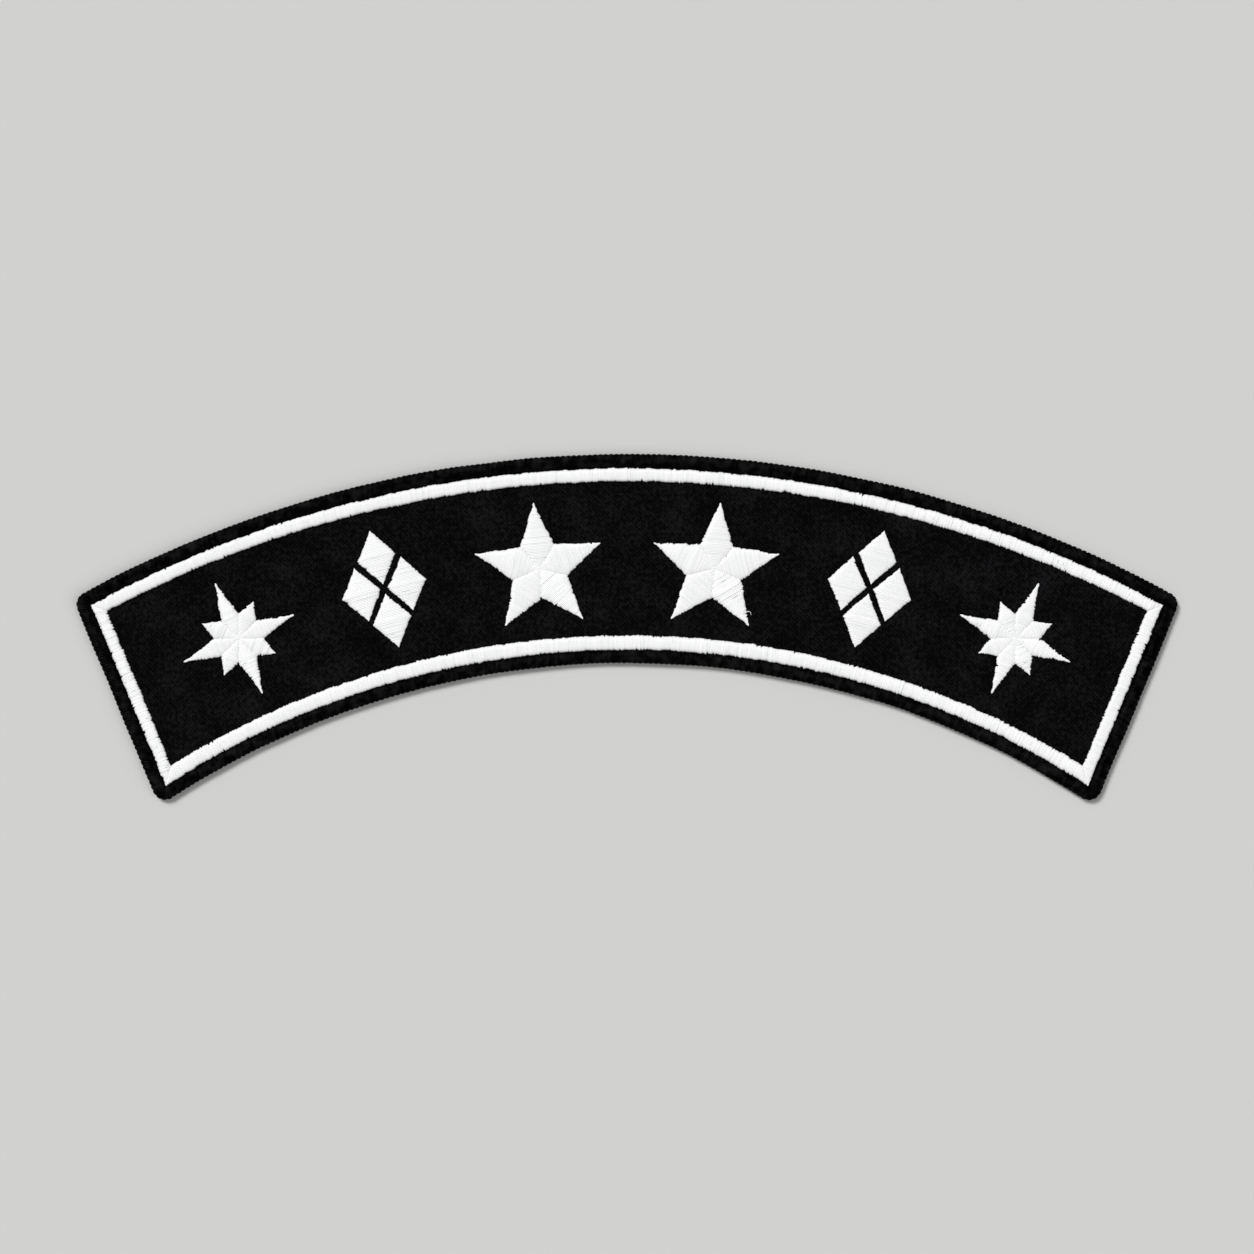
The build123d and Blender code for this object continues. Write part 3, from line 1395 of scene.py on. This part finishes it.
@dataclass
class OverlockedBorder:
    """Border of thread wound over the cloth's edge, slanting on the front, with a purl along the rim.

    Attributes:
        width: from the seam line to the outside.
        height: of the whole border.
        pitch: from one thread to the next.
        gauge: distance from the seam line at which threads have that pitch, as a share of the width.
        samples: spans of the mesh for one thread's round back.
        wraps: spans of the mesh from the front's inner edge round to the back's.
        relief: depth of the valley between two threads.
        lean: how far a thread's front end is ahead of its place on the rim.
        purl: height of the knots on the rim.
        purl_narrowness: exponent by which the knots keep to the rim.
        wander: slow unevenness of the rim.
        wander_rate: swings of it to a metre.
        swell_jitter: how far swelling differs from thread to thread.
        end_jitter: how far threads' front ends are out of line.
        seed: of everything uneven in the border.
        groove: depth of the groove in which the cloth's edge lies.
        groove_low: height of the groove's underside.
        groove_high: height of its upper side.
        lip: distance of the groove's mouth from the seam line.
        front_angle: angle in the section at which thread begins on the front, in degrees.
        back_angle: angle at which it ends on the back.
        squareness: exponent of the section; 2 is an ellipse.
    """

    width: float = 3.6 * MM
    height: float = 2.4 * MM
    pitch: float = 0.74 * MM
    gauge: float = 0.8
    samples: int = 5
    wraps: int = 12
    relief: float = 0.17 * MM
    lean: float = 1.0 * MM
    purl: float = 0.13 * MM
    purl_narrowness: int = 6
    wander: float = 0.22 * MM
    wander_rate: float = 60.0
    swell_jitter: float = 0.02 * MM
    end_jitter: float = 0.07 * MM
    seed: int = 7
    groove: float = 2.42 * MM
    groove_low: float = 0.44 * MM
    groove_high: float = 1.26 * MM
    lip: float = 0.03 * MM
    front_angle: float = 168.0
    back_angle: float = -166.0
    squareness: float = 2.6

    def build(self, material: bpy.types.Material) -> bpy.types.Object:
        """Winds the border round the seam line.

        Args:
            material: finish of its thread.

        Returns:
            The new object.
        """
        track = Track(SEAM, self.width * self.gauge)
        threads = round(track.length / self.pitch)
        rows = threads * self.samples
        section = self._section()
        thread_length = 2 * self.width + self.height
        winding = ThreadMesh(self.pitch, self.samples, self.seed)
        jitters = (self.swell_jitter, self.end_jitter)
        uneven = [[winding.draw.gauss(0.0, jitter) for jitter in jitters] for _ in range(threads)]
        places = winding.wind(rows, len(section), ring=True)
        for vertex, (row, column) in places.items():
            thread, step = divmod(row, self.samples)
            more_swell, more_reach = uneven[thread]
            point = section[column]
            slant = self.lean * math.cos(math.pi * point.share)
            place, outward = track.at(track.length * row / rows - slant)
            rim = max(0.0, math.sin(math.pi * point.share))
            knot = self.purl * rim**self.purl_narrowness * math.cos(math.pi * row / self.samples)
            slow = self.wander * rim * noise.noise(place * self.wander_rate)
            valley = self.relief * (1.0 - round_back(step / self.samples))
            swell = point.bulge * (knot + slow - valley + more_swell)
            across = point.across + swell.x + (more_reach if column == 0 else 0.0)
            vertex.co = place + outward * across + UP * max(0.0, point.height + swell.y)

        def along(vertex: bmesh.types.BMVert, thread: int) -> float:
            """Distance of a vertex along any thread, from the front's inner edge."""
            return section[places[vertex][1]].share * thread_length

        winding.mark_threads(places, rows, threads, along)
        winding.merge(places)
        return add_piece(winding.closed(), "overlocked_border", material, "merrow_edge")

    def _section(self) -> list[SectionPoint]:
        """Draws the border's section.

        Returns:
            Its points, from the front's inner edge over the rim to the back and round the groove.
        """
        first, last = math.radians(self.front_angle), math.radians(self.back_angle)
        power = 2 / self.squareness
        points = []
        for step in range(self.wraps + 1):
            share = step / self.wraps
            angle = first + (last - first) * share
            ray = Vector((math.cos(angle), math.sin(angle)))
            outward, upward = (math.copysign(abs(part) ** power, part) for part in ray)
            across = self.width / 2 * (1.0 + outward)
            points.append(SectionPoint(across, self.height / 2 * (1.0 + upward), ray, share))
        still = Vector((0.0, 0.0))
        return points + [
            SectionPoint(self.lip, self.groove_low, still, 1.0),
            SectionPoint(self.groove, self.groove_low, still, 1.0),
            SectionPoint(self.groove, self.groove_high, still, 0.0),
            SectionPoint(self.lip, self.groove_high, still, 0.0),
        ]


@dataclass(frozen=True)
class Outline:
    """Outline of a satin-stitched arm, beside which the cloth is drawn down.

    Attributes:
        middle: of the arm.
        reach: distance from the middle within which the outline is measured.
        corners: of the arm.
    """

    middle: Vector
    reach: float
    corners: list[Vector]

    def distance(self, point: Vector) -> float:
        """Measures how far a point lies from the outline.

        Args:
            point: the point.

        Returns:
            Its distance from the nearest side, without end where the arm is out of reach.
        """
        if (point.xy - self.middle.xy).length > self.reach:
            return math.inf
        starts = self.corners[-1:] + self.corners[:-1]
        return min(self._to_side(point.xy, end.xy, start.xy) for end, start in zip(self.corners, starts))

    def _to_side(self, point: Vector, start: Vector, end: Vector) -> float:
        """Measures how far a point lies from a side.

        Args:
            point: the point.
            start: one end of the side.
            end: its other end.

        Returns:
            The distance.
        """
        side = end - start
        share = max(0.0, min(1.0, (point - start).dot(side) / side.length_squared))
        return (point - start - side * share).length


@dataclass
class GroundCloth:
    """Black twill slab, drawn down a little along the stitching, with its edge in the border's groove.

    Attributes:
        margin: cloth past the seam line.
        cell: spacing of the mesh.
        squeezed: height of its underside inside the border.
        squeeze_run: distance over which the underside rises to that height.
        slack: height of the slow unevenness of its front.
        waves: swings to a metre and share of the height of each part of that unevenness.
        pull: how far stitching draws the cloth down beside it.
        pull_reach: distance from the stitching at which that has faded to a third.
        pull_limit: how many times that distance the pull is worked out for.
        frame_inner: distance of the frame line's inner edge from the seam line.
    """

    margin: float = 1.2 * MM
    cell: float = 0.75 * MM
    squeezed: float = 0.5 * MM
    squeeze_run: float = 0.2 * MM
    slack: float = 0.08 * MM
    waves: tuple[tuple[float, float], ...] = ((55.0, 0.6), (170.0, 0.4))
    pull: float = 0.16 * MM
    pull_reach: float = 0.9 * MM
    pull_limit: float = 5.0
    frame_inner: float = 4.1 * MM

    def build(self, material: bpy.types.Material, arms: list[Arm]) -> bpy.types.Object:
        """Lays the cloth.

        Args:
            material: its finish.
            arms: the satin-stitched arms that draw it down.

        Returns:
            The new object.
        """
        low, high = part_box("cloth_ground")
        corners = {upper: SEAM.corner(upper, -self.margin, -self.margin) for upper in (True, False)}
        columns = round((high.x - low.x) / self.cell)
        rows = round((SEAM.band_height + 2 * self.margin) / self.cell)
        mesh = bmesh.new()
        grid = bmesh.ops.create_grid(mesh, x_segments=columns, y_segments=rows, size=0.5)
        for vertex in grid["verts"]:
            share, rise = vertex.co.x * 2, vertex.co.y + 0.5
            above, below = (
                self._on_arc(corners[upper], SEAM.centre(upper), share) for upper in (True, False)
            )
            vertex.co = below.lerp(above, rise)
        back = bmesh.ops.extrude_face_region(mesh, geom=mesh.faces[:], use_keep_orig=True)
        back_vertices = {item for item in back["geom"] if isinstance(item, bmesh.types.BMVert)}
        outlines = [self._outline(arm) for arm in arms]
        for vertex in mesh.verts:
            depth = SEAM.depth(vertex.co)
            if vertex in back_vertices:
                vertex.co.z = self.squeezed * max(0.0, min(1.0, -depth / self.squeeze_run))
            else:
                vertex.co.z = high.z - self._drawn_down(vertex.co, depth, outlines)
        bmesh.ops.recalc_face_normals(mesh, faces=mesh.faces)
        # Extruding makes the side walls in another order each run
        mesh.verts.index_update()
        mesh.faces.sort(key=lambda face: self._rank(face, len(mesh.verts)))
        piece = add_piece(mesh, "twill_ground", material, "cloth_ground")
        return piece

    @staticmethod
    def _rank(face: bmesh.types.BMFace, count: int) -> int:
        """Place of a face by its highest and then its lowest vertex, in a mesh of so many vertices."""
        indices = [vertex.index for vertex in face.verts]
        return max(indices) * count + min(indices)

    def _on_arc(self, corner: Vector, centre: Vector, share: float) -> Vector:
        """Point of the arc through a right corner, at a share from -1 at the left to 1 there."""
        ray = corner - centre
        return centre + heading(math.pi / 2 - math.atan2(ray.x, ray.y) * share) * ray.length

    def _outline(self, arm: Arm) -> Outline:
        """Draws the outline of an arm.

        Args:
            arm: the arm.

        Returns:
            Its outline.
        """
        shoulder = arm.foot + arm.along * arm.shoulder
        tip = arm.foot + arm.along * arm.length
        sides = [shoulder + arm.aside * arm.half_width, shoulder - arm.aside * arm.half_width]
        reach = arm.length / 2 + self.pull_limit * self.pull_reach
        return Outline((arm.foot + tip) / 2, reach, [arm.foot, sides[0], tip, sides[1]])

    def _drawn_down(self, point: Vector, depth: float, outlines: list[Outline]) -> float:
        """Works out how far the cloth's front lies below its full height.

        Args:
            point: place on the front.
            depth: its distance inside the seam line.
            outlines: of the arms that draw the cloth down.

        Returns:
            The distance below its full height.
        """
        from_frame = max(0.0, depth - self.frame_inner)
        nearest = min(from_frame, *(outline.distance(point) for outline in outlines))
        slow = sum(noise.noise(point * rate) * part for rate, part in self.waves)
        return self.pull * math.exp(-nearest / self.pull_reach) + self.slack * abs(slow)


@dataclass(frozen=True)
class SoftLight:
    """Light as even as a sun's, with soft shadows.

    Attributes:
        name: the light's name.
        place: where it stands, seen from the patch.
        spread: degrees that it fills in the sky.
        strength: its power on a square metre that faces it.
    """

    name: str
    place: tuple[float, float, float]
    spread: float
    strength: float

    def build(self) -> None:
        """Adds the light."""
        data = bpy.data.lights.new(self.name, "SUN")
        data.angle = math.radians(self.spread)
        data.energy = self.strength
        light = bpy.data.objects.new(self.name, data)
        light.location = self.place
        light.rotation_euler = (-light.location).to_track_quat("-Z", "Y").to_euler()
        bpy.context.scene.collection.objects.link(light)


@dataclass
class Studio:
    """Pale floor, soft light and the camera straight above the patch.

    Attributes:
        margin: width of the picture, as a multiple of the patch's.
        focal_length: of the camera, in millimetres.
        floor_half: half the width of the floor.
        floor_gap: distance of the floor below the patch.
        floor_colour: of the floor.
        floor_roughness: of its faint gloss.
        key: light at the upper left.
        fill: weaker and softer light opposite.
        surroundings: strength of the even light from all round.
    """

    margin: float = 1.14
    focal_length: float = 100.0
    floor_half: float = 40.0
    floor_gap: float = 0.02 * MM
    floor_colour: tuple[float, float, float] = (0.60, 0.60, 0.59)
    floor_roughness: float = 0.9
    key: SoftLight = SoftLight("key", place=(-1.2, 1.4, 2.0), spread=22.0, strength=2.76)
    fill: SoftLight = SoftLight("fill", place=(1.8, -1.0, 1.6), spread=44.0, strength=0.76)
    surroundings: float = 0.26

    def build(self) -> None:
        """Sets everything that isn't part of the patch."""
        self._floor()
        self.key.build()
        self.fill.build()
        self._surroundings()
        self._camera()

    def _floor(self) -> None:
        """Lays the floor just under the patch."""
        mesh = bmesh.new()
        bmesh.ops.create_grid(mesh, x_segments=1, y_segments=1, size=self.floor_half)
        bmesh.ops.translate(mesh, verts=mesh.verts, vec=UP * -self.floor_gap)
        data = bpy.data.meshes.new("floor")
        mesh.to_mesh(data)
        mesh.free()
        tree = NodeTree("pale_floor")
        tree.principled(Base_Color=(*self.floor_colour, 1.0), Roughness=self.floor_roughness)
        data.materials.append(tree.material)
        floor = bpy.data.objects.new("floor", data)
        bpy.context.scene.collection.objects.link(floor)

    def _surroundings(self) -> None:
        """Lights the patch evenly from all round, and keeps colours as they are."""
        world = bpy.data.worlds.new("surroundings")
        world.use_nodes = True
        background = world.node_tree.nodes["Background"]
        background.inputs["Color"].default_value = (1.0, 1.0, 1.0, 1.0)
        background.inputs["Strength"].default_value = self.surroundings
        bpy.context.scene.world = world
        bpy.context.scene.view_settings.view_transform = "Standard"

    def _camera(self) -> None:
        """Hangs the camera straight above, with the patch's crown at the top of the picture."""
        low, high = CAD_BOX
        data = bpy.data.cameras.new("camera")
        data.lens = self.focal_length
        width = (high.x - low.x) * self.margin
        camera = bpy.data.objects.new("camera", data)
        camera.location = ((low + high) / 2).xy.to_3d() + UP * (width * data.lens / data.sensor_width)
        bpy.context.scene.collection.objects.link(camera)
        bpy.context.scene.camera = camera


def main() -> None:
    """Builds the patch and its studio."""
    logging.basicConfig(level=logging.INFO, format="%(message)s")
    satin, overlock, twill = WHITE_RAYON.material(), BLACK_POLYESTER.material(), BLACK_TWILL.material()
    stitch = Stitch()
    Studio().build()
    ornaments = Ornaments()
    OverlockedBorder().build(overlock)
    GroundCloth().build(twill, [arm for node in ornaments.nodes() for arm in ornaments.arms(node)])
    FrameLine().build(satin, stitch)
    ornaments.build(satin, stitch)


if __name__ == "__main__":
    main()
